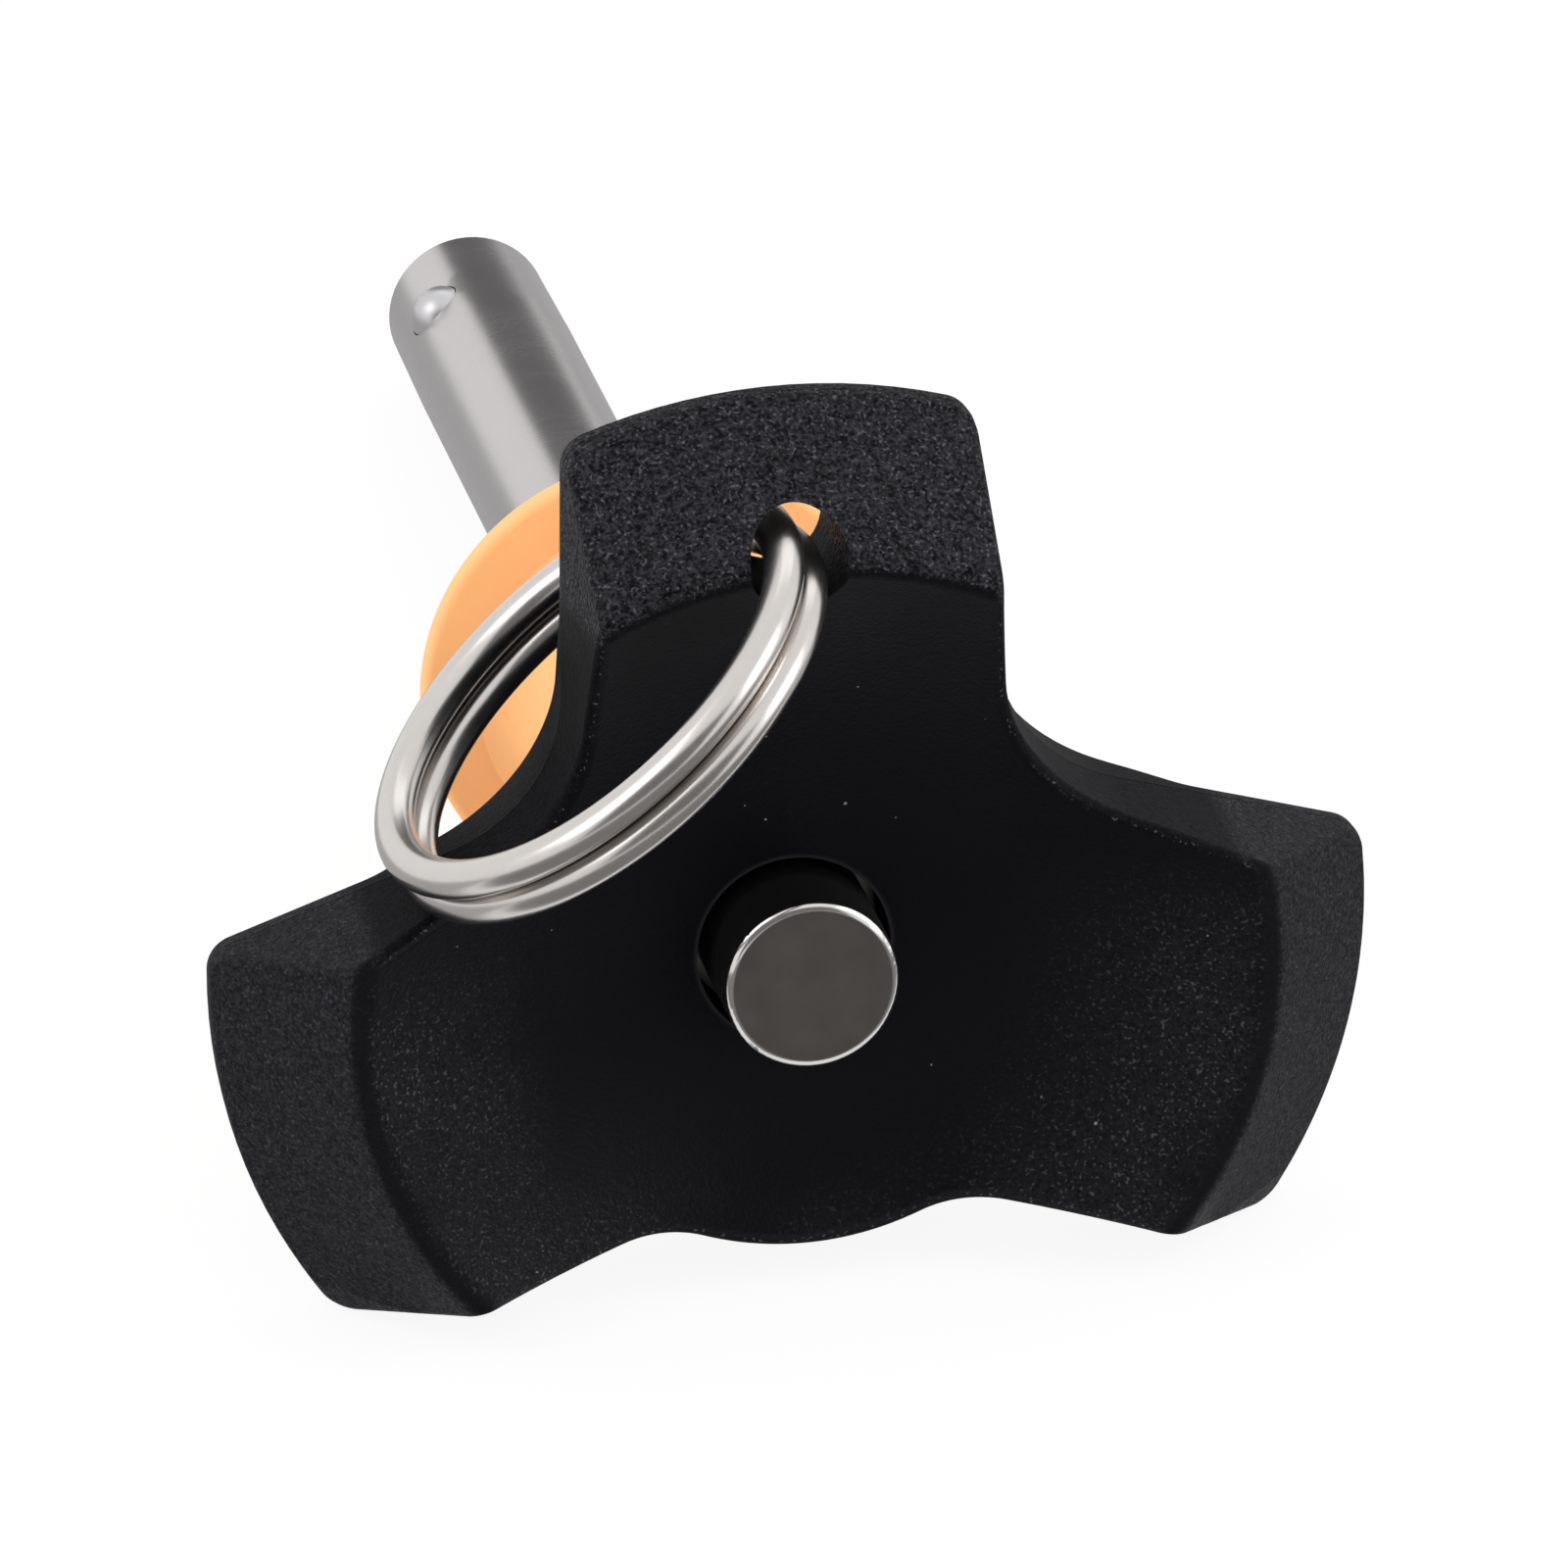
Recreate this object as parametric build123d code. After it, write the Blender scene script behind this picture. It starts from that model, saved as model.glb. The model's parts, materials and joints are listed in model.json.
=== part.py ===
"""Ball detent pin with a three-lobed moulded handle, an orange hand-stop collar and a split ring.

Everything is modelled in the pin's own frame, in millimetres: the pin's axis is Z, the button
looks to +Z, the nose to -Z, and Z = 0 is the edge of the button's bore in the handle. The lobe
that carries the ring points to +Y. At the end the whole pin is laid down on two lobes and the nose.
"""

import os
from math import atan2, cos, degrees, hypot, radians, sin, sqrt, tan

from build123d import *

os.makedirs("parts", exist_ok=True)

# ---------------------------------------------------------------- driving dimensions (mm)
# Shank
shank_d = 8.0
collar_drop = 33.2         # bore edge in the handle to the collar's stop face
grip_length = 41.9         # stop face to the centre of the balls
nose_reach = 6.0           # centre of the balls to the nose's cone
lead_reach = 2.2           # centre of the balls back to where the shank starts to taper
lead_in = 0.1              # taken off the radius by that taper
nose_length = 1.2
nose_angle = 35.0          # of the nose's flank, from the axis
nose_round = 0.4
mouth_edge = 0.25
shoulder_d = 12.0
shoulder_t = 1.2
shank_top_drop = 15.6      # bore edge in the handle to the top end of the shank

# Balls and the spindle that drives them
ball_d = 3.0
ball_turn = 135.0          # direction of the first ball about the axis, from +X
ball_proud = 0.75          # how far a locked ball stands out of the shank
ball_sunk = 0.05           # how far a released ball lies under the shank's surface
spindle_d = 3.6
spindle_beyond = 3.3       # spindle's end past the centre of the balls, at rest
spindle_edge = 0.3
neck_d = 1.7
ball_play = 0.04           # between a ball and the spindle's cone

# Button
button_d = 8.0
button_proud = 4.35
button_travel = 3.5
button_skirt_d = 9.8
button_skirt_t = 1.5
button_edge = 0.25         # rounding of the cap's edge
spindle_seat = 5.9         # depth of the spindle's press fit in the button

# Handle
handle_t = 7.2             # along the axis
dish_r = 38.0              # hollow of the top face
ridge_r = 20.9             # where the top face ends at each lobe
rim_r = 26.55
rim_drop = 1.25            # bore edge down to the rim
rim_t = 1.1
rim_land = 0.45            # upright edge of the rim over the parting plane
lobe_half_w = 9.55         # at the ridge, on the parting plane
lobe_half_end = 9.3        # at the rim
side_lobe_turn = 105.2     # from the ring's lobe to each side lobe
lobe_corner = 1.6
hub_r = 13.95
notch_fillet = 7.6
hub_fillet = 6.6
draft = 4.0                # degrees, both ways from the parting plane at the rim
ridge_round = 1.2
top_round = 0.5
under_round = 0.4
under_blend = 2.0          # between the rim's flat underside and the bulge
bore_d = 8.9
lip_t = 3.5
boss_d = 17.0
boss_drop = 15.2           # bore edge to the boss's end
boss_fillet = 2.5
boss_edge = 0.5
ring_hole_d = 4.6
ring_hole_edge = 0.8       # countersink at the hole's lower end
ring_hole_out = 20.75       # from the pin's axis

# Collar
waist_d = 13.6
collar_d = 22.3
collar_top_d = 16.0
flange_t = 1.3
flange_round = 0.4
flare_rise = 1.5
flare_in = 0.5
flat_w = 2.6               # plain flat round the flange, outside the flare
spigot_d = 12.8
spigot_top_drop = 10.5
snap_r = 0.6

# Clip that holds the shank in the collar
clip_t = 0.8
clip_d = 9.6
clip_groove = 0.5
clip_gap = 2.6
clip_ledge_drop = 17.0     # bore edge to the collar's inner ledge

# Spring
spring_wire = 0.7
spring_d = 5.6
spring_turns = 6.5

# Split ring
ring_mean_r = 11.0
ring_wire_w = 1.95         # radially
ring_wire_t = 1.62         # along the ring's axis
ring_wire_round = 0.76
ring_turn = 216.9          # direction from the hole to the ring's centre, from +X
ring_lean = 2.1            # of the ring's plane from the pin's axis
ring_high = 2.5            # centre of the ring above the bore edge
ring_cross_at = 238.0      # where the wire steps from turn to turn, from the ring's far side
ring_cross_span = 40.0
ring_end_gap = 3.0         # degrees between the step and each cut end
ring_slip = 0.19           # ring's middle line from the middle of its hole, towards the axis

# Fits
running = 0.05             # radial, of the pieces that slide or turn
turn_gap = 0.04            # between the turns of the split ring

# ---------------------------------------------------------------- derived values
shank_r = shank_d / 2
stop_z = -collar_drop
ball_z = stop_z - grip_length
full_end_z = ball_z - nose_reach
nose_z = full_end_z - nose_length
shank_top_z = -shank_top_drop

ball_r = ball_d / 2
ball_out = shank_r + ball_proud - ball_r        # centre of a locked ball from the axis
ball_in = shank_r - ball_sunk - ball_r          # centre of a released ball
ball_travel = ball_out - ball_in
ramp_angle = degrees(atan2(ball_travel, button_travel))

spindle_r = spindle_d / 2
spindle_bore_r = spindle_r + running
skirt_r = button_skirt_d / 2
skirt_top_z = -lip_t
skirt_z = skirt_top_z - button_skirt_t
chamber_r = skirt_r + running

spigot_r = spigot_d / 2
spigot_top_z = -spigot_top_drop
boss_z = -boss_drop
clip_ledge_z = -clip_ledge_drop
snap_z = (spigot_top_z + boss_z) / 2
part_z = -rim_drop                              # parting plane of the handle's mould
part_tol = rim_t / 4
wall_foot_z = boss_z + (boss_drop - handle_t) / 2


dish_depth = dish_r - sqrt(dish_r**2 - (bore_d / 2) ** 2)     # middle of the hollow, under the bore's edge


def dish(r):
    """Height of the handle's hollow top face at a distance from the axis."""
    return dish_r - sqrt(dish_r**2 - r**2) - dish_depth


def lathe(*points):
    """A turned piece from its half profile, as (radius, height) pairs."""
    return revolve(make_face(Plane.XZ * Polyline(*points, close=True)), Axis.Z)


def tube(outer, inner, low, high):
    """A plain ring about the pin's axis."""
    return lathe((inner, low), (outer, low), (outer, high), (inner, high))


# ---------------------------------------------------------------- handle
def handle_plan():
    """Plan of the handle on its parting plane, at the level of the rim, where it is widest."""
    taper = (lobe_half_w - lobe_half_end) / (rim_r - ridge_r)
    reach = rim_r + lobe_corner
    root_w = lobe_half_w + taper * ridge_r
    far_w = root_w - taper * reach
    lobe = make_face(Polyline((0, -root_w), (reach, -far_w), (reach, far_w), (0, root_w), close=True))
    lobe = lobe & Circle(rim_r)
    lobe = fillet(lobe.vertices().sort_by(Axis.X)[-2:], lobe_corner)
    plan = Sketch() + [Rot(0, 0, 90 + turn) * lobe for turn in (0, side_lobe_turn, -side_lobe_turn)]
    plan = fillet(plan.vertices().filter_by(in_notch), notch_fillet)
    plan = plan + Circle(hub_r)
    return fillet(plan.vertices().filter_by(at_hip), hub_fillet)


def in_notch(vertex):
    """True for the two corners between the ring's lobe and a side lobe."""
    return vertex.Y > 0 and hypot(vertex.X, vertex.Y) < ridge_r - lobe_corner


def at_hip(vertex):
    """True for the two corners between the hub and a side lobe."""
    return vertex.Y < 0 and hypot(vertex.X, vertex.Y) < ridge_r - lobe_corner


def handle_section():
    """Half section through a lobe: hollow top, sloping band, rim, bulged underside and boss."""
    boss_r = boss_d / 2
    under_z = -rim_drop - rim_t
    band_slope = (dish(ridge_r) - part_z - rim_land) / (rim_r - ridge_r)
    band_r = rim_r + (rim_land + rim_t) / band_slope
    sagitta = under_z + handle_t + dish_depth
    bulge_r = sqrt(dish_r**2 - (dish_r - sagitta) ** 2)
    halfway = (bulge_r + boss_r) / 2
    section = make_face(
        [
            ThreePointArc((0, dish(0)), (ridge_r / 2, dish(ridge_r / 2)), (ridge_r, dish(ridge_r))),
            Line((ridge_r, dish(ridge_r)), (band_r, under_z)),
            Line((band_r, under_z), (bulge_r, under_z)),
            ThreePointArc(
                (bulge_r, under_z),
                (halfway, dish(halfway) - handle_t),
                (boss_r, dish(boss_r) - handle_t),
            ),
            Line((boss_r, dish(boss_r) - handle_t), (boss_r, boss_z)),
            Line((boss_r, boss_z), (0, boss_z)),
            Line((0, boss_z), (0, dish(0))),
        ]
    )
    section = fillet(corners_at(section, ridge_r, dish(ridge_r)), ridge_round)
    section = fillet(corners_at(section, bulge_r, under_z), under_blend)
    section = fillet(corners_at(section, boss_r, dish(boss_r) - handle_t), boss_fillet)
    return chamfer(corners_at(section, boss_r, boss_z), boss_edge)


def corners_at(sketch, x, y):
    """The corner of a flat section nearest to a place."""
    return sketch.vertices().sort_by_distance((x, y, 0))[:1]


def wall_edges(handle, above):
    """Edges that close the drafted walls, above or below the parting plane."""
    walls = handle.faces().filter_by(is_wall)
    edges = ShapeList(edge for wall in walls for edge in wall.edges())
    if above:
        return edges.filter_by(lambda edge: edge.bounding_box().min.Z > part_z + part_tol)
    return edges.filter_by(lambda edge: edge.bounding_box().max.Z < part_z - part_tol)


def is_wall(face):
    """True for the handle's drafted side faces, all near vertical and outside the boss."""
    middle = face.center()
    steep = abs(face.normal_at(middle).Z) < 2 * sin(radians(draft))
    return steep and hypot(middle.X, middle.Y) > boss_d / 2


def make_handle():
    """Moulded handle: the turned form cut by walls drafted both ways, then bored from both ends."""
    top_z = dish(ridge_r) + 1
    plan = Pos(0, 0, part_z) * handle_plan()
    walls = extrude(plan, top_z - part_z, taper=draft) + extrude(plan, wall_foot_z - part_z, taper=draft)
    walls += tube(boss_d / 2 + boss_fillet, 0, boss_z - 1, wall_foot_z)
    handle = revolve(Plane.XZ * handle_section(), Axis.Z) & walls
    handle = fillet(wall_edges(handle, above=True), top_round)
    handle = fillet(wall_edges(handle, above=False), under_round)
    handle -= Pos(0, ring_hole_out, 0) * Cylinder(ring_hole_d / 2, 4 * handle_t)
    handle -= Pos(0, ring_hole_out, -rim_drop - rim_t) * ring_hole_lead()
    handle -= tube(bore_d / 2, 0, skirt_top_z - 1, top_z)
    handle -= tube(chamber_r, 0, spigot_top_z - 1, skirt_top_z)
    handle -= tube(spigot_r, 0, boss_z - 1, spigot_top_z)
    return handle + snap_bead()


def ring_hole_lead():
    """Countersink at the ring hole's lower end, carried on through the bulge of the underside."""
    hole_r = ring_hole_d / 2
    return lathe(
        (0, -ring_hole_edge),
        (hole_r + 2 * ring_hole_edge, -ring_hole_edge),
        (hole_r, ring_hole_edge),
        (0, ring_hole_edge),
    )


def snap_bead():
    """Rounded bead inside the handle's socket, which snaps into the collar's groove."""
    bead = Plane.XZ * (Pos(spigot_r, snap_z) * Circle(snap_r))
    return revolve(bead, Axis.Z) & tube(spigot_r + snap_r, spigot_r - snap_r, boss_z, spigot_top_z)


# ---------------------------------------------------------------- collar
def make_collar():
    """Orange hand stop: waisted sleeve with a flared flange, sitting in the handle's boss."""
    rim = collar_d / 2
    top_r = collar_top_d / 2
    waist_r = waist_d / 2
    rim_top_z = stop_z + flange_t
    waist_z = (boss_z + rim_top_z) / 2 + flare_rise / 4
    flare_z = rim_top_z + flare_rise
    flat_r = rim - flat_w
    waist = ThreePointArc((top_r, boss_z), (waist_r, waist_z), (waist_r + flare_in, flare_z))
    flare = TangentArc((waist_r + flare_in, flare_z), (flat_r, rim_top_z), tangent=waist % 1)
    section = make_face(
        [
            waist,
            flare,
            Line((flat_r, rim_top_z), (rim, rim_top_z)),
            Line((rim, rim_top_z), (rim, stop_z)),
            Line((rim, stop_z), (shank_r, stop_z)),
            Line((shank_r, stop_z), (shank_r, boss_z)),
            Line((shank_r, boss_z), (top_r, boss_z)),
        ]
    )
    section = fillet(corners_at(section, rim, rim_top_z), flange_round)
    section = fillet(corners_at(section, rim, stop_z), flange_round)
    collar = revolve(Plane.XZ * section, Axis.Z)
    collar += tube(spigot_r, shank_r, boss_z, spigot_top_z)
    collar -= tube(chamber_r, 0, clip_ledge_z, spigot_top_z + 1)
    collar -= tube(shoulder_d / 2, 0, stop_z - 1, stop_z + shoulder_t)
    groove = revolve(Plane.XZ * (Pos(spigot_r, snap_z) * Circle(snap_r)), Axis.Z)
    return collar - groove


# ---------------------------------------------------------------- shank
def ball_place(turn, out):
    """Centre of a ball at a distance from the pin's axis."""
    return Rot(0, 0, turn) * Pos(out, 0, ball_z)


def ball_pocket(turn):
    """Cross hole whose mouth closes in round the ball, so that the ball can't fall out."""
    hole_r = ball_r + running
    hole = Rot(0, 0, turn) * Pos(0, 0, ball_z) * Rot(0, 90, 0) * Cylinder(
        hole_r, ball_out, align=(Align.CENTER, Align.CENTER, Align.MIN)
    )
    return hole + ball_place(turn, ball_out) * Sphere(hole_r)


def make_shank():
    """Hollow shank with a conical nose, the stop shoulder, the clip's groove and two ball pockets."""
    lead_r = shank_r - lead_in
    nose_r = lead_r - nose_length * tan(radians(nose_angle))
    shoulder_z = stop_z + shoulder_t
    groove_r = shank_r - clip_groove
    shank = lathe(
        (0, nose_z),
        (nose_r, nose_z),
        (lead_r, full_end_z),
        (shank_r, ball_z + lead_reach),
        (shank_r, stop_z),
        (shoulder_d / 2, stop_z),
        (shoulder_d / 2, shoulder_z),
        (shank_r, shoulder_z),
        (shank_r, clip_ledge_z),
        (groove_r, clip_ledge_z),
        (groove_r, clip_ledge_z + clip_t),
        (shank_r, clip_ledge_z + clip_t),
        (shank_r, shank_top_z),
        (0, shank_top_z),
    )
    shank = fillet(shank.edges().filter_by(GeomType.CIRCLE).group_by(Axis.Z)[0], nose_round)
    shank -= tube(spindle_bore_r, 0, nose_z - 1, shank_top_z + 1)
    shank = chamfer(shank.edges().filter_by(is_nose_mouth), mouth_edge)
    return shank - ball_pocket(ball_turn) - ball_pocket(ball_turn + 180)


def is_nose_mouth(edge):
    """True for the circle where the spindle's bore opens in the nose."""
    low = edge.bounding_box().max.Z < nose_z + nose_length / 2
    return low and edge.bounding_box().size.X < 2 * (spindle_bore_r + running)


def make_clip():
    """Open ring in the shank's groove, which holds the collar down on the shank's shoulder."""
    low = clip_ledge_z
    clip = tube(clip_d / 2, shank_r - clip_groove, low, low + clip_t)
    return clip - Pos(0, -clip_d / 2, low) * Box(clip_gap, clip_d, 4 * clip_t)


# ---------------------------------------------------------------- button, spindle and balls
def make_button():
    """Turned steel button: cap with a rounded edge, a skirt caught under the handle's lip, and a blind bore."""
    cap_r = button_d / 2
    button = lathe(
        (0, skirt_z),
        (skirt_r, skirt_z),
        (skirt_r, skirt_top_z),
        (cap_r, skirt_top_z),
        (cap_r, button_proud),
        (0, button_proud),
    )
    button = fillet(button.edges().sort_by(Axis.Z)[-1:], button_edge)
    return button - tube(spindle_r, 0, skirt_z - 1, skirt_z + spindle_seat)


def make_spindle():
    """Rod from the button to the nose; its cone lets both balls sink as the button goes in."""
    neck_r = neck_d / 2
    slope = tan(radians(ramp_angle))
    ball_reach = ball_r / cos(radians(ramp_angle)) + ball_play
    ramp_r = ball_out - ball_reach                   # radius of the cone beside a locked ball
    ramp_low_z = ball_z - (spindle_r - ramp_r) / slope
    ramp_high_z = ball_z + (ramp_r - neck_r) / slope
    relief_z = ball_z + button_travel + ball_r * 0.8
    relief = spindle_r - neck_r
    end_z = ball_z - spindle_beyond
    return lathe(
        (0, end_z),
        (spindle_r - spindle_edge, end_z),
        (spindle_r, end_z + spindle_edge),
        (spindle_r, ramp_low_z),
        (neck_r, ramp_high_z),
        (neck_r, relief_z),
        (spindle_r, relief_z + relief),
        (spindle_r, skirt_z + spindle_seat),
        (0, skirt_z + spindle_seat),
    )


def make_ball(turn):
    """Locking ball, standing out of the shank."""
    return ball_place(turn, ball_out) * Sphere(ball_r)


# ---------------------------------------------------------------- spring
def make_spring():
    """Compression spring round the spindle, from the shank's top end to the button's skirt."""
    low = shank_top_z + spring_wire / 2
    height = skirt_z - spring_wire / 2 - low
    mean_r = (spring_d - spring_wire) / 2
    path = Pos(0, 0, low) * Helix(height / spring_turns, height, mean_r)
    wire = Plane(path @ 0, z_dir=path % 0) * Circle(spring_wire / 2)
    return sweep(wire, path, is_frenet=True)


# ---------------------------------------------------------------- split ring
def radial(turn):
    """Unit vector from the ring's centre, in the ring's own frame."""
    return Vector(cos(radians(turn)), sin(radians(turn)), 0)


def ring_point(turn, height):
    """Point on the middle line of a turn of the wire."""
    return radial(turn) * ring_mean_r + Vector(0, 0, height)


def wire_section():
    """Flattened round wire: width along the ring's radius, thickness along its axis."""
    return RectangleRounded(ring_wire_w, ring_wire_t, ring_wire_round)


def turn_of_wire(height, begin, finish):
    """Flat part of a turn, from one angle to another."""
    section = Plane.XZ * (Pos(ring_mean_r, height) * wire_section())
    return Rot(0, 0, begin) * revolve(section, Axis.Z, revolution_arc=finish - begin)


def make_split_ring():
    """Two flat turns of one wire, lying on each other, with the step from turn to turn."""
    half_step = (ring_wire_t + turn_gap) / 2
    span = ring_cross_span / 2
    lower = turn_of_wire(-half_step, span + ring_end_gap, 360 - span)
    upper = turn_of_wire(half_step, span, 360 - span - ring_end_gap)
    rise = Spline(
        ring_point(-span, -half_step),
        ring_point(span, half_step),
        tangents=[radial(90 - span), radial(90 + span)],
    )
    foot = Plane(rise @ 0, x_dir=radial(-span), z_dir=rise % 0) * wire_section()
    head = Plane(rise @ 1, x_dir=radial(span), z_dir=rise % 1) * wire_section()
    crossing = sweep([foot.face(), head.face()], rise, multisection=True)
    wire = Rot(0, 0, ring_cross_at) * (lower + crossing + upper)
    return ring_seat() * Rot(-ring_lean, 0, 0) * wire


def ring_seat():
    """Frame of the ring: X from the hole to the far side, Y along the pin's axis."""
    away = radial(ring_turn)
    hole = Vector(0, ring_hole_out - ring_slip, ring_high)
    return Plane(hole + away * ring_mean_r, x_dir=away, z_dir=away.cross(Vector(0, 0, 1))).location


# ---------------------------------------------------------------- laid down at rest
def lowest(shape, lean):
    """Height of the lowest point of a piece when the pin lies at a lean."""
    return (Rot(90 - lean, 0, 0) * shape).bounding_box().min.Z


def rest_lean(handle, shank):
    """Angle at which the side lobes and the nose touch one plane."""
    lean = 0.0
    for _ in range(4):
        lean += degrees(atan2(lowest(shank, lean) - lowest(handle, lean), -full_end_z - rim_drop))
    return lean


pieces = {
    "handle": make_handle(),
    "collar": make_collar(),
    "shank": make_shank(),
    "clip": make_clip(),
    "button": make_button(),
    "spindle": make_spindle(),
    "spring": make_spring(),
    "ball_a": make_ball(ball_turn),
    "ball_b": make_ball(ball_turn + 180),
    "split_ring": make_split_ring(),
}
lean = rest_lean(pieces["handle"], pieces["shank"])
lift = -lowest(pieces["handle"], lean)
boxes = [(Rot(90 - lean, 0, 0) * piece).bounding_box() for piece in pieces.values()]
middle = (min(b.min.Y for b in boxes) + max(b.max.Y for b in boxes)) / 2
lying = Pos(0, -middle, lift) * Rot(90 - lean, 0, 0)
for name, piece in pieces.items():
    export_step(lying * piece, f"parts/{name}.step")
print(f"lean {lean:.5f} lift {lift:.5f} shift {-middle:.5f}")
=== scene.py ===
"""Looks of the ball detent pin: black moulded handle, orange hand stop, ground steel shank, split ring.

The solids stay as the frame gives them and get materials, which are laid out in the pin's own frame
in millimetres. Only the split ring is drawn again, as one smooth oval wire.
"""

import json
from math import atan2, radians

import bpy
from mathutils import Matrix, Vector


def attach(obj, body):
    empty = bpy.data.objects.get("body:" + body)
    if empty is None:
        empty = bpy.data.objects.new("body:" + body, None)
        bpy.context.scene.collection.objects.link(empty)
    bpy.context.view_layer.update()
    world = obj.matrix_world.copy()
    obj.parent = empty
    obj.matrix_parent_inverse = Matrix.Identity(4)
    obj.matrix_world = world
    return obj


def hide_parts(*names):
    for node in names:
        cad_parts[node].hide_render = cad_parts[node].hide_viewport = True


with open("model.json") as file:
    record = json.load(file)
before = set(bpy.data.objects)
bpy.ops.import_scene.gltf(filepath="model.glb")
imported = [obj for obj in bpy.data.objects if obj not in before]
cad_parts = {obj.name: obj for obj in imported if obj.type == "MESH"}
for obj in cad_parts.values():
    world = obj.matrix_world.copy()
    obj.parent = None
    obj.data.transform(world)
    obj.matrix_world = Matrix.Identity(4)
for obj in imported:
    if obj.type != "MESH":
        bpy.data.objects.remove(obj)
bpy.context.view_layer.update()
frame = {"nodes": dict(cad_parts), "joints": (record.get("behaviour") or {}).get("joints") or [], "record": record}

MM = 0.001

# ---------------------------------------------------------------- sizes taken from the CAD model (mm)
dish_r = 38.0              # hollow of the handle's top face
dish_depth = 0.26          # its middle, under the edge of the button's bore
ridge_r = 20.9             # where the top face ends at each lobe
part_drop = 1.25           # parting plane of the handle's mould, under that edge
ring_hole_out = 20.75      # middle of the ring's hole from the pin's axis
bore_d = 8.9               # bore that the button runs in
button_d = 8.0
button_proud = 4.35
ring_mean_r = 11.0
ring_wire_w = 1.95         # across the wire, along the ring's radius
ring_wire_t = 1.62         # along the ring's axis
ring_lean = 2.1            # degrees, of the ring's plane from the pin's axis
ring_cross_at = 238.0      # degrees, where the wire steps from turn to turn, from the ring's far side
ring_cross_span = 40.0     # degrees
ring_end_gap = 3.0         # degrees
turn_gap = 0.04

# ---------------------------------------------------------------- the pin's own frame
# Z runs from the nose to the button, 0 at the button's bore; Y points to the ring's lobe.
joints = {joint["name"]: joint for joint in frame["joints"]}
mounts = {mount["name"]: mount for mount in frame["record"]["mounts"]}
to_button = -Vector(joints["button_press"]["axis"])
to_lobe = to_button.cross(Vector((1, 0, 0)))
tilt = atan2(to_lobe.z, to_lobe.y)
pin_origin = Vector(joints["ring_swing"]["pos_m"]) - to_lobe * ring_hole_out * MM
PIN = Matrix.Translation(pin_origin) @ Matrix.Rotation(tilt, 4, "X") @ Matrix.Scale(MM, 4)


# ---------------------------------------------------------------- node trees
class Value:
    """A socket of a node tree, so that maths on it is written as plain expressions."""

    def __init__(self, graph, socket):
        self.graph = graph
        self.socket = socket

    def _maths(self, operation, *terms):
        return self.graph.node("ShaderNodeMath", {"operation": operation}, dict(enumerate(terms)))

    def __add__(self, other):
        return self._maths("ADD", self, other)

    def __sub__(self, other):
        return self._maths("SUBTRACT", self, other)

    def __mul__(self, other):
        return self._maths("MULTIPLY", self, other)

    def __truediv__(self, other):
        return self._maths("DIVIDE", self, other)

    def __rsub__(self, other):
        return self._maths("SUBTRACT", other, self)

    def __abs__(self):
        return self._maths("ABSOLUTE", self)

    def cosine(self):
        return self._maths("COSINE", self)

    def sine(self):
        return self._maths("SINE", self)

    __radd__ = __add__
    __rmul__ = __mul__

    def step(self, low, high):
        """0 under low, 1 over high, and smooth between them."""
        return self.graph.node(
            "ShaderNodeMapRange",
            {"interpolation_type": "SMOOTHSTEP"},
            {"Value": self, "From Min": low, "From Max": high},
        )


class Graph:
    """An emptied node tree, with one method that makes any node."""

    def __init__(self, tree):
        self.tree = tree
        tree.nodes.clear()

    def node(self, kind, settings=None, inputs=None, out=0):
        """A node with its settings made first, then its sockets; gives back one of its outputs."""
        node = self.tree.nodes.new(kind)
        for name, setting in (settings or {}).items():
            setattr(node, name, setting)
        for name, value in (inputs or {}).items():
            if isinstance(value, Value):
                self.tree.links.new(value.socket, node.inputs[name])
            else:
                node.inputs[name].default_value = value
        return Value(self, node.outputs[out]) if node.outputs else None

    def vector(self, x=0.0, y=0.0, z=0.0):
        return self.node("ShaderNodeCombineXYZ", None, {"X": x, "Y": y, "Z": z})


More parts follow.
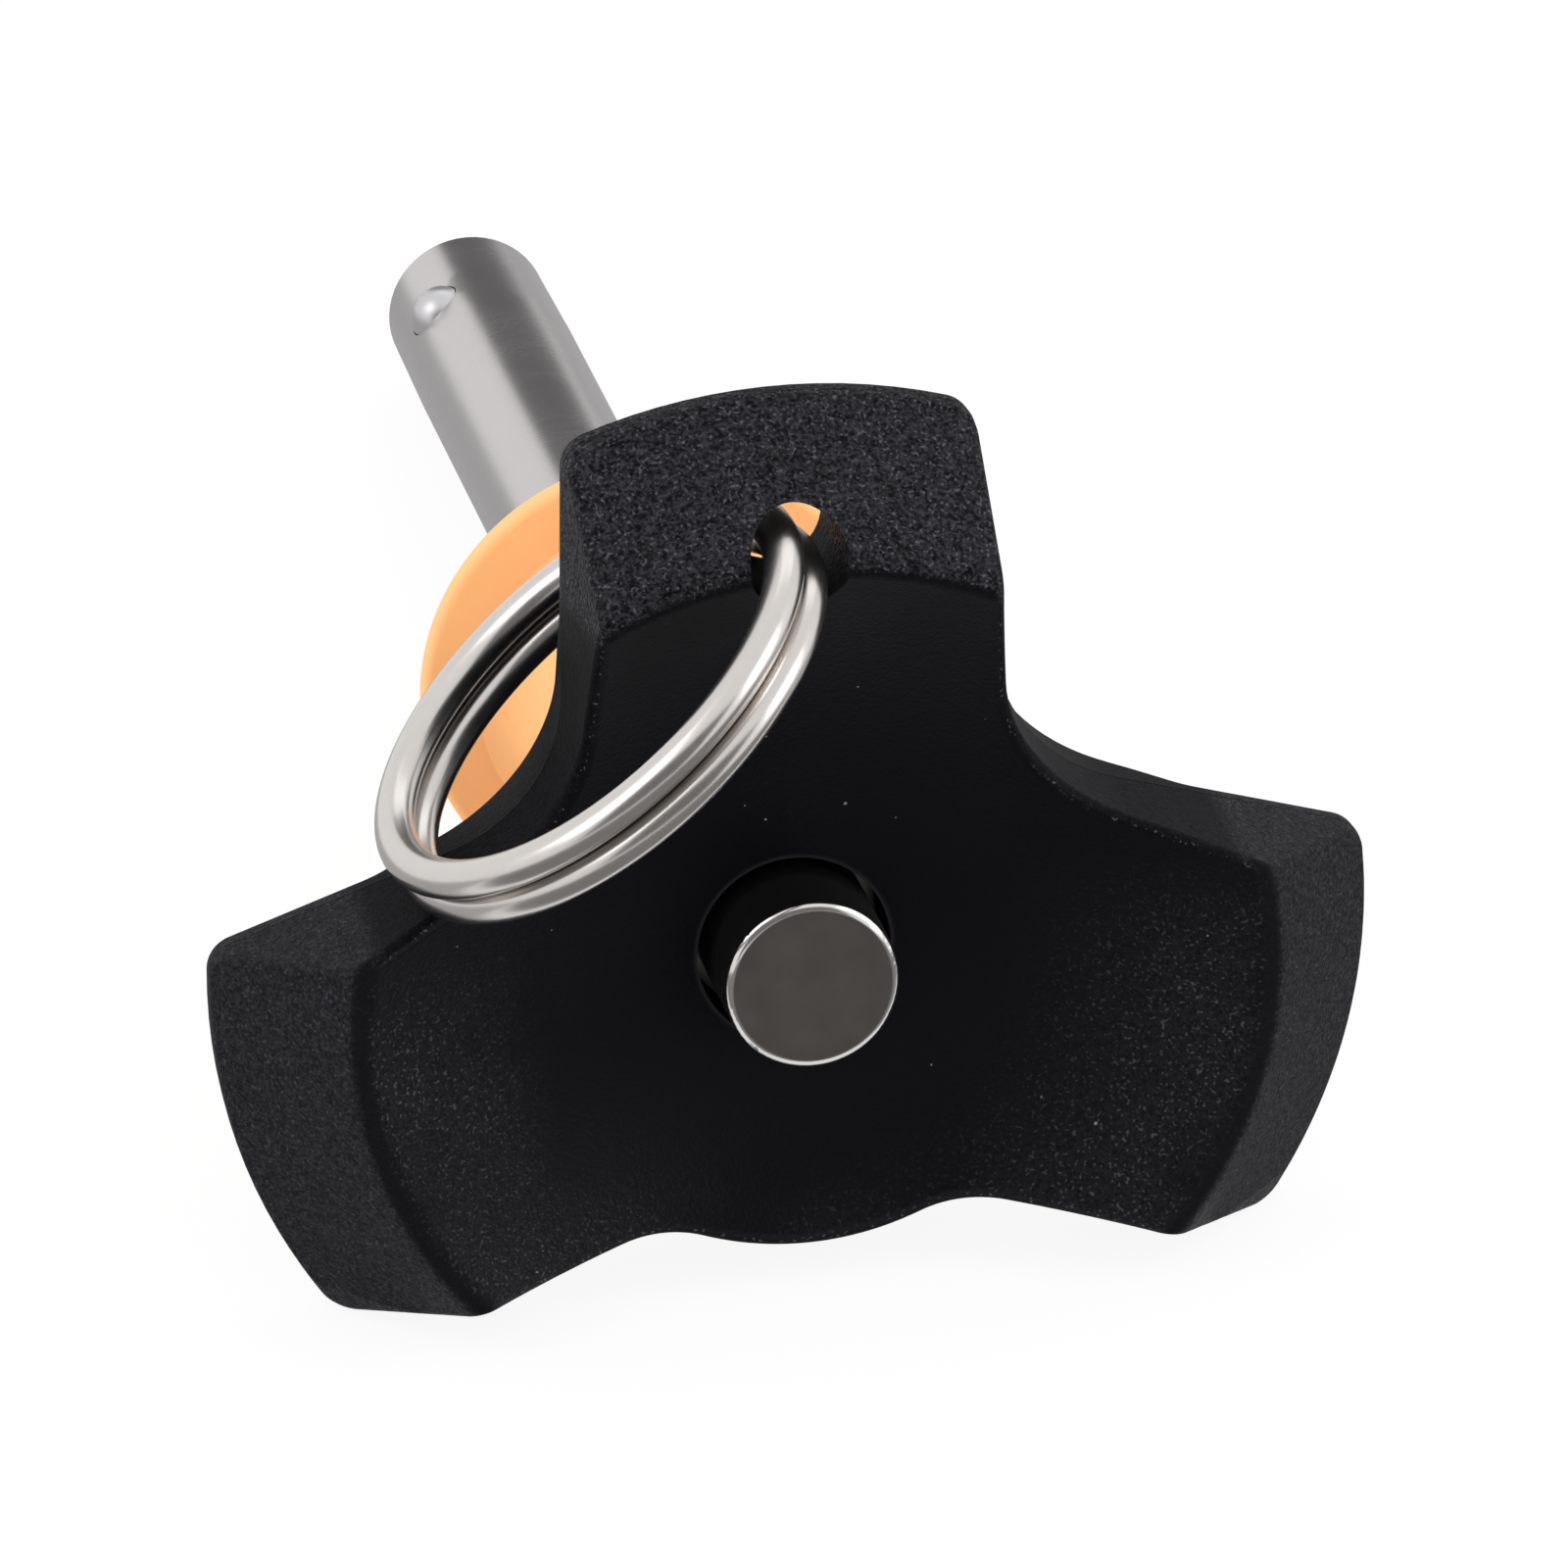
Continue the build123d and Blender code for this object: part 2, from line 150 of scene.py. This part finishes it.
class Finish(Graph):
    """A material made of nodes."""

    def __init__(self, name):
        self.material = bpy.data.materials.new(name)
        self.material.use_nodes = True
        super().__init__(self.material.node_tree)

    def pin_place(self, stretch=(1, 1, 1)):
        """Place on the piece in the pin's own frame, in millimetres, pulled out along its axes."""
        return self.node(
            "ShaderNodeMapping",
            {"vector_type": "TEXTURE"},
            {
                "Vector": self.node("ShaderNodeTexCoord", out="Object"),
                "Location": pin_origin,
                "Rotation": (tilt, 0, 0),
                "Scale": [MM * each for each in stretch],
            },
        )

    def round_place(self):
        """Distance from the pin's axis, and the place along Y and Z."""
        split = self.node("ShaderNodeSeparateXYZ", None, {"Vector": self.pin_place()})
        x, y, z = [Value(self, output) for output in split.socket.node.outputs]
        out = self.node("ShaderNodeVectorMath", {"operation": "LENGTH"}, {0: self.vector(x, y)}, out="Value")
        return out, y, z

    def distance(self, place, centre):
        return self.node("ShaderNodeVectorMath", {"operation": "DISTANCE"}, {0: place, 1: centre}, out="Value")

    def noise(self, place, scale, detail=2.0, rough=0.5):
        return self.node(
            "ShaderNodeTexNoise", None, {"Vector": place, "Scale": scale, "Detail": detail, "Roughness": rough}
        )

    def mix(self, factor, a, b):
        """One colour going over into another."""
        return self.node(
            "ShaderNodeMix", {"data_type": "RGBA"}, {"Factor": factor, 6: colour(a), 7: colour(b)}, out=2
        )

    def bump(self, height, depth):
        """Relief of a height map, its depth in millimetres."""
        return self.node("ShaderNodeBump", None, {"Height": height, "Distance": depth * MM, "Strength": 1.0})

    def surface(self, **sockets):
        """A principled surface; underscores stand for spaces in its sockets' names."""
        named = {name.replace("_", " "): value for name, value in sockets.items()}
        return self.node("ShaderNodeBsdfPrincipled", None, named)

    def blend(self, factor, a, b):
        """One surface going over into another."""
        return self.node("ShaderNodeMixShader", None, {0: factor, 1: a, 2: b})

    def done(self, shader):
        self.node("ShaderNodeOutputMaterial", None, {"Surface": shader})
        return self.material


def colour(value):
    """An RGB triple as a socket's colour; a Value stays as it is."""
    return value if isinstance(value, Value) else (*value, 1.0)


def grey(level):
    return colour((level, level, level))


# ---------------------------------------------------------------- finishes
def moulded_black():
    """Black handle plastic: smooth in the hollow of the top, spark-eroded grain on the lobes' ends; painted shade
    along the side lobes' ridges, painted light on the bore's wall and the side lobes' ends, painted sheen and
    glints on the hollow.
    """
    polish_ends = (0.03, 0.25)                          # off the hollow's surface
    shade_thins = (0.4, 0.9)                            # off the hollow's surface
    end_begins = (ridge_r - 1.2, ridge_r - 0.2)         # these four from the axis
    shade_begins = (ridge_r - 0.8, ridge_r - 0.2)
    shade_ends = (ridge_r + 0.3, ridge_r + 0.7)
    bore_rim = (bore_d / 2 + 0.05, bore_d / 2 + 0.3)
    sheen_out = (9.0, 20.0)                            # from the axis, where the painted sheen on the hollow's grain begins
    sheen_up = (-3.0, 5.0)                             # along Y, where the painted sheen stops: only the hollow's lower part is painted lighter
    side_lobes = (4.0, 15.0)                            # along Y, where the side lobes stop
    flash_half_h, flash_blend = 0.07, 0.05              # of the raised line on the parting plane
    blue_gloss = colour((0.93, 0.93, 1.0))

    finish = Finish("moulded_black")
    place = finish.pin_place()
    out, y, z = finish.round_place()
    off_surface = abs(finish.distance(place, (0, 0, dish_r - dish_depth)) - dish_r)

    off_dish = off_surface.step(*polish_ends)
    on_end = out.step(*end_begins)
    on_sides = 1.0 - y.step(*side_lobes)
    # painted light: inside the button's bore the wall gets a lighter, gloss-free base that fills in its shade
    by_bore = 1.0 - out.step(*bore_rim)
    at_ridge = out.step(*shade_begins) * (1.0 - out.step(*shade_ends))
    ridge_shade = at_ridge * (1.0 - off_surface.step(*shade_thins)) * on_sides * 0.9
    # painted glints, partly edge wear: a thin line of light specks along the edges of the hollow
    edge_wear_and_glint = off_dish * (1.0 - off_dish) * (1.0 - on_end) * 4.0
    flash = (flash_half_h - abs(z + part_drop)).step(0.0, flash_blend)

    coarse = finish.noise(place, 2.6, 2.0, 0.6).step(0.35, 0.7)
    fine = finish.noise(place, 5.5, 1.0).step(0.38, 0.66)
    grain = coarse * 0.4 + fine * 0.6
    specks = finish.noise(place, 6.0, 0.0).step(0.64, 0.78)
    dust = finish.noise(place, 2.2, 0.0).step(0.88, 0.9)
    cloud = finish.noise(place, 0.13, 3.0)
    # painted sheen: lighter grainy patches on the lower part of the hollow, where it faces the light; the grain is
    # real, its lightness is painted light
    grain_and_sheen = out.step(*sheen_out) * cloud.step(0.3, 0.62) * (1.0 - y.step(*sheen_up))
    end_grain = on_end * (1.0 - on_sides * 0.6)
    relief = grain * (end_grain * 0.85 + 0.15)

    hollow_pale = dust + grain_and_sheen * (grain * 0.06 + specks * 0.26) + edge_wear_and_glint * specks * 0.4
    hollow = finish.surface(
        Base_Color=finish.mix(hollow_pale, (0.002, 0.002, 0.003), (0.16, 0.16, 0.17)),
        Roughness=cloud.step(0.3, 0.7) * 0.08 + 0.34 + grain_and_sheen * 0.1,
        Specular_IOR_Level=0.13,
        Specular_Tint=blue_gloss,
        Normal=finish.bump(grain * (grain_and_sheen * 0.8 + 0.2), 0.05),
    )
    # painted light: the side lobes' ends get a slightly lighter base
    end_pale = relief * 0.37 + specks * (end_grain + edge_wear_and_glint) * 0.6 + on_end * on_sides * 0.06
    grained = finish.surface(
        Base_Color=finish.mix(end_pale, (0.001, 0.001, 0.002), (0.085, 0.085, 0.095)),
        Roughness=0.55 - relief * 0.12,
        Specular_IOR_Level=0.065,
        Specular_Tint=blue_gloss,
        Normal=finish.bump(relief + flash * 1.2, 0.09),
    )
    # painted shade and painted light in one gloss-free surface: dark along the side lobes' ridges, lighter on the
    # bore's wall
    shade_and_bore_fill = finish.surface(
        Base_Color=finish.mix(by_bore, (0.006, 0.006, 0.007), (0.016, 0.016, 0.018)),
        Roughness=0.6,
        Specular_IOR_Level=0.0,
        Normal=finish.bump(relief, 0.05),
    )
    skin = finish.blend(off_dish, hollow, grained)
    return finish.done(finish.blend(ridge_shade + by_bore, skin, shade_and_bore_fill))


def moulded_orange():
    """Orange hand-stop plastic, satin with a very fine even grain."""
    finish = Finish("moulded_orange")
    place = finish.pin_place()
    grain = finish.noise(place, 7.0, 2.0)
    cloud = finish.noise(place, 0.2, 2.0).step(0.3, 0.7)
    return finish.done(
        finish.surface(
            Base_Color=finish.mix(cloud, (0.99, 0.53, 0.228), (0.95, 0.505, 0.213)),
            Roughness=0.52 + grain * 0.1,
            Specular_IOR_Level=0.12,
            Normal=finish.bump(grain, 0.006),
        )
    )


def ground_steel(name, tint, rough, scratch_depth):
    """Steel ground round its axis: fine rings of scratches, slightly uneven in gloss."""
    finish = Finish(name)
    rings = finish.noise(finish.pin_place((6, 6, 0.12)), 1.0, 3.0, 0.6)
    cloud = finish.noise(finish.pin_place((3, 3, 1)), 0.35, 2.0)
    return finish.done(
        finish.surface(
            Base_Color=finish.mix(rings, [each * 0.96 for each in tint], tint),
            Metallic=1.0,
            Roughness=rough + rings * 0.04 + cloud * 0.05,
            Normal=finish.bump(rings, scratch_depth),
        )
    )


def turned_button():
    """Button steel: polished side painted darker as shade, broken edge, and a face turned in fine rings about the
    pin's axis.
    """
    edge_out = button_d / 2 - 0.4                                   # where the face meets its broken edge
    edge_w = 0.34
    face_begins = (button_proud - 0.06, button_proud - 0.01)        # along Z
    side_ends = (button_proud - 0.5, button_proud - 0.3)            # along Z
    rings_per_mm = 9.0

    finish = Finish("turned_button")
    out, _, z = finish.round_place()
    on_face = z.step(*face_begins) * (1.0 - out.step(edge_out, edge_out + 0.1))
    on_side = 1.0 - z.step(*side_ends)
    rings = finish.noise(finish.vector(out * rings_per_mm, z * rings_per_mm), 1.0, 3.0, 0.7)
    stain = finish.noise(finish.pin_place(), 0.5, 3.0)
    broken = (out - edge_out).step(0.0, edge_w)

    # painted shade: the button's side, down in the bore, gets a much darker steel than its broken edge, standing in
    # for the dark bore it mirrors
    round_colour = finish.mix(on_side, (0.7, 0.68, 0.66), (0.34, 0.33, 0.32))
    face_colour = finish.mix(stain, (0.16, 0.146, 0.138), (0.28, 0.255, 0.238))
    return finish.done(
        finish.surface(
            Base_Color=finish.mix(on_face, round_colour, face_colour),
            Metallic=1.0,
            Roughness=on_face * 0.16 + on_side * 0.12 + rings * 0.08 + 0.10,
            Normal=finish.bump(rings * 0.02 - broken, 0.08),
        )
    )


def polished_steel(name, tint, rough):
    """Bright drawn wire or a ball: polished, with faint marks."""
    finish = Finish(name)
    marks = finish.noise(finish.pin_place(), 1.5, 2.0)
    return finish.done(
        finish.surface(
            Base_Color=finish.mix(marks, [each * 0.94 for each in tint], tint),
            Metallic=1.0,
            Roughness=rough + marks * 0.05,
        )
    )


wire_grey = (0.45, 0.45, 0.46)
ball_grey = (0.6, 0.59, 0.6)
finishes = {
    "handle": moulded_black(),
    "collar": moulded_orange(),
    "shank": ground_steel("ground_shank", (0.575, 0.552, 0.55), 0.22, 0.00003),
    "spindle": ground_steel("ground_spindle", (0.6, 0.6, 0.6), 0.22, 0.0015),
    "clip": ground_steel("spring_wire", wire_grey, 0.3, 0.001),
    "spring": ground_steel("spring_wire_coil", wire_grey, 0.3, 0.001),
    "button": turned_button(),
    "ball_a": polished_steel("polished_ball", ball_grey, 0.36),
    "ball_b": polished_steel("polished_ball_b", ball_grey, 0.36),
    "split_ring": polished_steel("polished_ring", (0.66, 0.625, 0.6), 0.22),
}
for name, material in finishes.items():
    node = frame["nodes"][name]
    node.data.materials.clear()
    node.data.materials.append(material)


# ---------------------------------------------------------------- objects
def linked(name, data):
    """A new object in the scene."""
    made = bpy.data.objects.new(name, data)
    bpy.context.collection.objects.link(made)
    return made


def board_mesh(name, width, height, material):
    """Flat rectangle about its own middle."""
    mesh = bpy.data.meshes.new(name)
    corners = [(x * width / 2, y * height / 2, 0) for x, y in ((-1, -1), (1, -1), (1, 1), (-1, 1))]
    mesh.from_pydata(corners, [], [(0, 1, 2, 3)])
    mesh.materials.append(material)
    return mesh


def looking(place, aim):
    """Turn by which a lamp, board or camera at a place faces its aim."""
    return (Vector(aim) - Vector(place)).to_track_quat("-Z", "Y")


# ---------------------------------------------------------------- split ring
class RingTree(Graph):
    """A Geometry Nodes tree whose sizes are named inputs."""

    def __init__(self, name, sizes):
        self.group = bpy.data.node_groups.new(name, "GeometryNodeTree")
        super().__init__(self.group)
        self.sizes = sizes
        self.keys = {}
        new_socket = self.group.interface.new_socket
        for label, value in sizes.items():
            kind = "NodeSocketInt" if isinstance(value, int) else "NodeSocketFloat"
            self.keys[label] = new_socket(label, in_out="INPUT", socket_type=kind).identifier
        new_socket("Geometry", in_out="OUTPUT", socket_type="NodeSocketGeometry")
        self.given = self.group.nodes.new("NodeGroupInput")

    def size(self, label):
        """A named input of the tree."""
        return Value(self, self.given.outputs[label])

    def mesh(self, name):
        """Plain mesh that the tree gives, after its sizes are set."""
        maker = linked(name, bpy.data.meshes.new(name))
        modifier = maker.modifiers.new(name, "NODES")
        modifier.node_group = self.group
        for label, value in self.sizes.items():
            modifier[self.keys[label]] = value
        mesh = bpy.data.meshes.new_from_object(maker.evaluated_get(bpy.context.evaluated_depsgraph_get()))
        bpy.data.objects.remove(maker)
        return mesh


def ring_tree(material):
    """Two turns of one oval wire: a line of points wound round twice, stepping over at one place."""
    tree = RingTree(
        "split_ring",
        {
            "Mean radius": ring_mean_r,
            "Wire width": ring_wire_w,
            "Wire thickness": ring_wire_t,
            "Step height": ring_wire_t + turn_gap,
            "First angle": radians(ring_cross_span / 2 + ring_end_gap),
            "Last angle": radians(720 - ring_cross_span / 2 - ring_end_gap),
            "Step begins": radians(360 - ring_cross_span / 2),
            "Step ends": radians(360 + ring_cross_span / 2),
            "Points": 480,
            "Facets": 36,
        },
    )
    points = tree.size("Points")
    line = tree.node("GeometryNodeMeshLine", {"mode": "OFFSET"}, {"Count": points})
    share = tree.node("GeometryNodeInputIndex") / (points - 1)
    angle = tree.size("First angle") + share * (tree.size("Last angle") - tree.size("First angle"))
    stepped = angle.step(tree.size("Step begins"), tree.size("Step ends"))
    place = tree.vector(
        angle.cosine() * tree.size("Mean radius"),
        angle.sine() * tree.size("Mean radius"),
        (stepped - 0.5) * tree.size("Step height"),
    )
    wound = tree.node("GeometryNodeSetPosition", None, {"Geometry": line, "Position": place})
    curve = tree.node("GeometryNodeMeshToCurve", None, {"Mesh": wound})
    path = tree.node("GeometryNodeSetCurveNormal", {"mode": "Z_UP"}, {"Curve": curve})
    circle = tree.node("GeometryNodeCurvePrimitiveCircle", None, {"Resolution": tree.size("Facets"), "Radius": 0.5})
    wire_size = tree.vector(tree.size("Wire width"), tree.size("Wire thickness"), 1.0)
    oval = tree.node("GeometryNodeTransform", None, {"Geometry": circle, "Scale": wire_size})
    wire = tree.node("GeometryNodeCurveToMesh", None, {"Curve": path, "Profile Curve": oval, "Fill Caps": True})
    smooth = tree.node("GeometryNodeSetShadeSmooth", None, {"Geometry": wire})
    real = tree.node("GeometryNodeRealizeInstances", None, {"Geometry": smooth})
    done = tree.node("GeometryNodeSetMaterial", None, {"Geometry": real, "Material": material})
    tree.node("NodeGroupOutput", None, {"Geometry": done})
    return tree


def make_ring(material):
    """The split ring where the CAD model hangs it."""
    seat = mounts["lanyard_ring"]
    axis = Vector(seat["axis"])
    away = to_button.cross(axis)
    turned = Matrix((away, axis.cross(away), axis)).transposed().to_4x4()
    lean = Matrix.Rotation(radians(-ring_lean), 4, "X")
    begin = Matrix.Rotation(radians(ring_cross_at), 4, "Z")
    mesh = ring_tree(material).mesh("drawn_ring")
    mesh.transform(Matrix.Translation(Vector(seat["pos_m"])) @ turned @ lean @ begin @ Matrix.Scale(MM, 4))
    ring = linked("drawn_ring", mesh)
    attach(ring, "ring")
    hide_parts("split_ring")


make_ring(finishes["split_ring"])

# ---------------------------------------------------------------- studio (metres, watts)
view_from = Vector((-146.31, 350.63, 796.66))      # in the pin's frame
view_at = Vector((-0.158, 8.084, 0.0))
view_roll = radians(-0.6)
floor_size = 6.0
floor_shade = 0.1          # share of the floor's own shading that the eye sees; the rest is plain white
light_level = 1.1          # of the white tent's light; seen or mirrored, the tent is 1


def make_camera():
    camera = linked("camera", bpy.data.cameras.new("camera"))
    camera.data.lens = 450.0
    camera.data.sensor_width = 36.0
    camera.data.clip_start = 0.05
    camera.location = PIN @ view_from
    look = looking(camera.location, PIN @ view_at)
    camera.rotation_euler = (look.to_matrix() @ Matrix.Rotation(view_roll, 3, "Z")).to_euler()
    bpy.context.scene.camera = camera


def softbox(name, place, aim, width, height, power):
    """Soft rectangular lamp, not seen by the camera itself."""
    light = bpy.data.lights.new(name, "AREA")
    light.shape = "RECTANGLE"
    light.size, light.size_y = width, height
    light.energy = power
    lamp = linked(name, light)
    lamp.location = place
    lamp.rotation_euler = looking(place, aim).to_euler()
    lamp.visible_camera = False


def dark_card(name, place, aim, width, height, level):
    """Dark board that metal mirrors and nothing else sees."""
    finish = Finish(name)
    dark = finish.done(finish.node("ShaderNodeEmission", None, {"Color": grey(level)}))
    card = linked(name, board_mesh(name, width, height, dark))
    card.location = place
    card.rotation_euler = looking(place, aim).to_euler()
    card.visible_camera = False
    card.visible_diffuse = False
    card.visible_shadow = False


def lying_card(name, x, y, z, width, height, level):
    """Dark board that lies flat over the floor."""
    dark_card(name, (x, y, z), (x, y, 1.0), width, height, level)


def background_rays(graph):
    """1 for the rays by which the eye, metal and glass see the background, 0 for its light."""
    path = "ShaderNodeLightPath"
    seen = graph.node(path, out="Is Camera Ray") + graph.node(path, out="Is Glossy Ray")
    return seen + graph.node(path, out="Is Transmission Ray")


def make_floor():
    finish = Finish("pale_floor")
    lit = finish.node("ShaderNodeBsdfDiffuse", None, {"Color": grey(0.95)})
    white = finish.node("ShaderNodeEmission", None, {"Color": grey(1.0), "Strength": 1.0})
    pale = finish.done(finish.blend(background_rays(finish) * (1.0 - floor_shade), lit, white))
    floor = linked("floor", board_mesh("floor", floor_size, floor_size, pale))


def make_world():
    world = bpy.data.worlds.new("studio")
    bpy.context.scene.world = world
    world.use_nodes = True
    graph = Graph(world.node_tree)
    seen = background_rays(graph).step(0, 1)
    strength = seen * (1.0 - light_level) + light_level
    sky = graph.node("ShaderNodeBackground", None, {"Color": grey(1.0), "Strength": strength})
    graph.node("ShaderNodeOutputWorld", None, {"Surface": sky})


middle = PIN @ Vector((0, 0, -20))
nose = PIN @ Vector((0, 0, -60))
make_camera()
make_floor()
make_world()
softbox("lamp_left", (-0.45, -0.05, 0.45), middle, 0.4, 0.4, 0.7)
softbox("lamp_back", (0.15, 0.55, 0.5), middle, 0.5, 0.3, 0.25)
softbox("lamp_right", (0.5, -0.2, 0.35), middle, 0.25, 0.4, 1.1)
dark_card("card_camera", (-0.16, -0.85, 0.53), middle, 1.5, 0.95, 0.2)
dark_card("card_back", nose + Vector((0.09, 0.55, 0.175)), nose, 0.32, 0.33, 0.1)
lying_card("card_front", 0.05, -0.47, 0.002, 0.84, 0.84, 0.25)
lying_card("card_under", 0.0, 0.02, 0.0015, 0.8, 0.12, 0.5)
lying_card("card_behind", 0.2, 0.3975, 0.0015, 0.4, 0.635, 0.35)

bpy.context.scene.view_settings.view_transform = "Standard"
